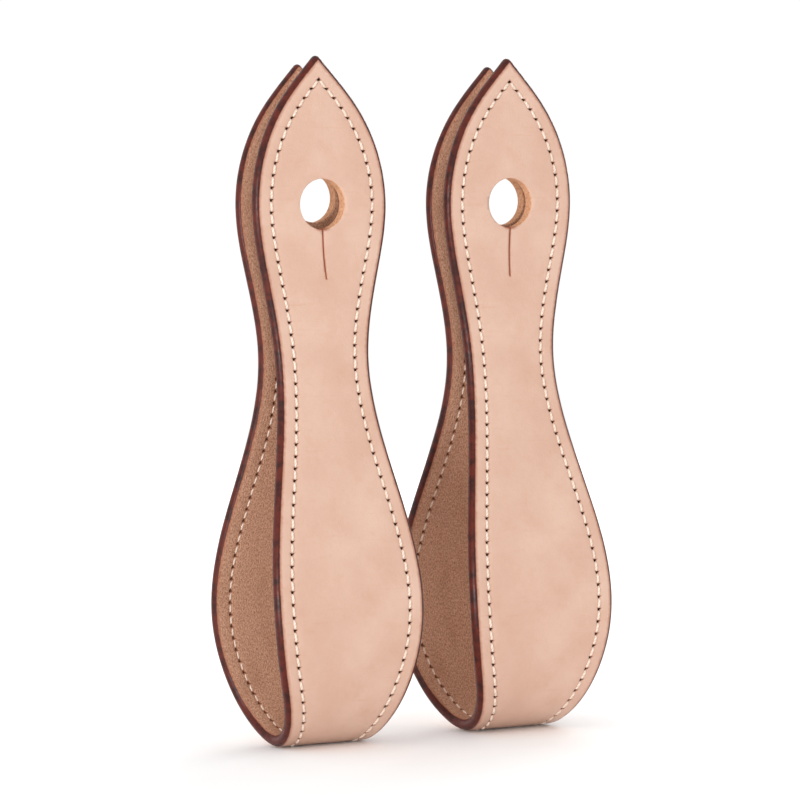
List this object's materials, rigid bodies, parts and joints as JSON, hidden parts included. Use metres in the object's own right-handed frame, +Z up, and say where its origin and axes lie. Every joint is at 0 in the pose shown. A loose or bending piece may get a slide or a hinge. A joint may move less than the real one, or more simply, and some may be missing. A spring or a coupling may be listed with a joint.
{
  "type": "slobber straps",
  "caption": "Pair of folded leather slobber straps: teardrop loops for the bit rings, pointed spade ends with punched rein holes, border stitching.",
  "frame": {"origin": "middle of the left strap's front rein hole, half way through the leather", "axes": "+Z up from the folds to the pointed ends, +X from the left strap to the right one, +Y from the front leaves to the back leaves"},
  "size_m": [0.1288, 0.0547, 0.2292],
  "materials": {
    "skirting_leather": "natural",
    "cream_thread": "waxed"
  },
  "bodies": {
    "left_front_spade_body": {"left_front_spade": "skirting_leather", "left_front_spade_needle_thread": "cream_thread", "left_front_spade_bobbin_thread": "cream_thread"},
    "left_front_lower_body": {"left_front_lower": "skirting_leather", "left_front_lower_needle_thread": "cream_thread", "left_front_lower_bobbin_thread": "cream_thread"},
    "left_back_lower_body": {"left_back_lower": "skirting_leather", "left_back_lower_needle_thread": "cream_thread", "left_back_lower_bobbin_thread": "cream_thread"},
    "left_back_spade_body": {"left_back_spade": "skirting_leather", "left_back_spade_needle_thread": "cream_thread", "left_back_spade_bobbin_thread": "cream_thread"},
    "right_front_spade_body": {"right_front_spade": "skirting_leather", "right_front_spade_needle_thread": "cream_thread", "right_front_spade_bobbin_thread": "cream_thread"},
    "right_front_lower_body": {"right_front_lower": "skirting_leather", "right_front_lower_needle_thread": "cream_thread", "right_front_lower_bobbin_thread": "cream_thread"},
    "right_back_lower_body": {"right_back_lower": "skirting_leather", "right_back_lower_needle_thread": "cream_thread", "right_back_lower_bobbin_thread": "cream_thread"},
    "right_back_spade_body": {"right_back_spade": "skirting_leather", "right_back_spade_needle_thread": "cream_thread", "right_back_spade_bobbin_thread": "cream_thread"}
  },
  "joints": [
    {"name": "left_front_waist", "type": "hinge", "parent": "left_front_spade_body", "child": "left_front_lower_body", "pos_m": [0, 0.00015, -0.04892], "axis": [-1, 0, 0], "range_deg": [-1, 30], "stiffness_Nm_per_rad": 0.4},
    {"name": "left_fold", "type": "hinge", "parent": "left_front_lower_body", "child": "left_back_lower_body", "pos_m": [0, 0.00585, -0.1779], "axis": [-1, 0, 0], "range_deg": [-1, 50], "stiffness_Nm_per_rad": 0.2},
    {"name": "left_back_waist", "type": "hinge", "parent": "left_back_lower_body", "child": "left_back_spade_body", "pos_m": [0, 0.01153, -0.05112], "axis": [-1, 0, 0], "range_deg": [-1, 30], "stiffness_Nm_per_rad": 0.4},
    {"name": "right_front_waist", "type": "hinge", "parent": "right_front_spade_body", "child": "right_front_lower_body", "pos_m": [0.073, 0.00019, -0.04893], "axis": [-1, 0, 0], "range_deg": [-1, 30], "stiffness_Nm_per_rad": 0.4},
    {"name": "right_fold", "type": "hinge", "parent": "right_front_lower_body", "child": "right_back_lower_body", "pos_m": [0.073, 0.00585, -0.1779], "axis": [-1, 0, 0], "range_deg": [-1, 50], "stiffness_Nm_per_rad": 0.2},
    {"name": "right_back_waist", "type": "hinge", "parent": "right_back_lower_body", "child": "right_back_spade_body", "pos_m": [0.073, 0.0115, -0.05113], "axis": [-1, 0, 0], "range_deg": [-1, 30], "stiffness_Nm_per_rad": 0.4},
    {"name": "pair_spread", "type": "slide", "parent": "left_front_spade_body", "child": "right_front_spade_body", "axis": [1, 0, 0], "range_m": [0, 0.06]}
  ]
}
